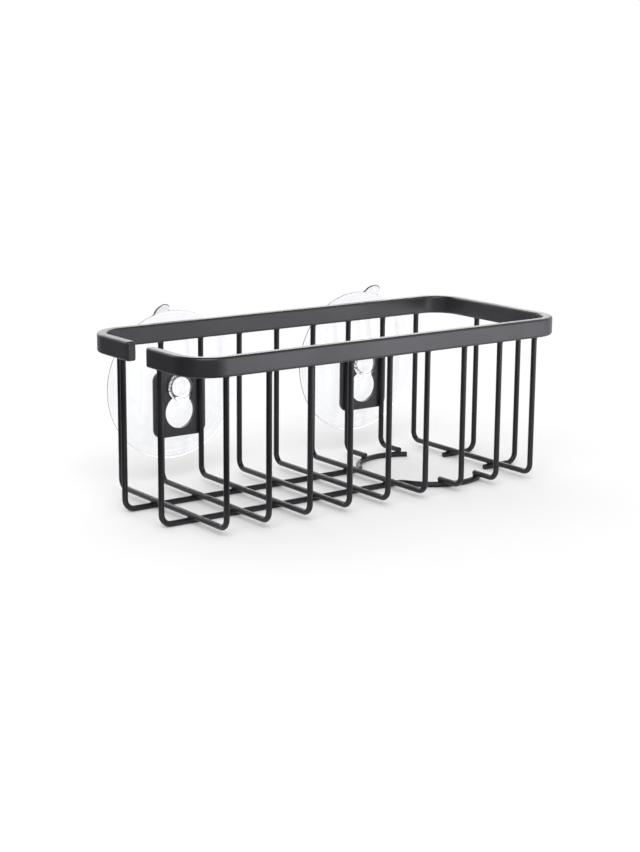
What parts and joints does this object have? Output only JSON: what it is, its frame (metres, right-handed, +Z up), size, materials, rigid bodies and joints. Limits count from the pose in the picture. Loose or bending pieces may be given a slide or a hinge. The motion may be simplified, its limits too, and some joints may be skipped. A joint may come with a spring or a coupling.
{
  "type": "sponge holder",
  "caption": "Black wire sponge holder with a flat bar rim, a floor opening for a brush handle and clear suction cups at the back.",
  "frame": {"origin": "under the middle of the holder, at the level of its lowest wires", "axes": "+X along the holder to the end with the brush opening, +Y to the wall, +Z up"},
  "size_m": [0.1928, 0.09, 0.0795],
  "materials": {
    "coated_steel": "black satin powder coat",
    "clear_pvc": "clear soft vinyl, glossy"
  },
  "bodies": {
    "rack": {"rim": "coated_steel", "cross_wire_1": "coated_steel", "cross_wire_2": "coated_steel", "cross_wire_3": "coated_steel", "cross_wire_4": "coated_steel", "cross_wire_5": "coated_steel", "cross_wire_6": "coated_steel", "cross_wire_9": "coated_steel", "front_stub_7": "coated_steel", "front_stub_8": "coated_steel", "back_stub_7": "coated_steel", "back_stub_8": "coated_steel", "front_rail": "coated_steel", "back_rail": "coated_steel", "front_end_wire": "coated_steel", "back_end_wire": "coated_steel", "keyhole_plate_left": "coated_steel", "keyhole_plate_right": "coated_steel"},
    "left_cup": {"suction_cup_left": "clear_pvc"},
    "right_cup": {"suction_cup_right": "clear_pvc"}
  },
  "joints": [
    {"name": "left_cup_swivel", "type": "hinge", "parent": "rack", "child": "left_cup", "pos_m": [-0.0507, 0.03936, 0.0432], "axis": [0, 1, 0], "continuous": true},
    {"name": "right_cup_swivel", "type": "hinge", "parent": "rack", "child": "right_cup", "pos_m": [0.0493, 0.03936, 0.0432], "axis": [0, 1, 0], "continuous": true}
  ]
}
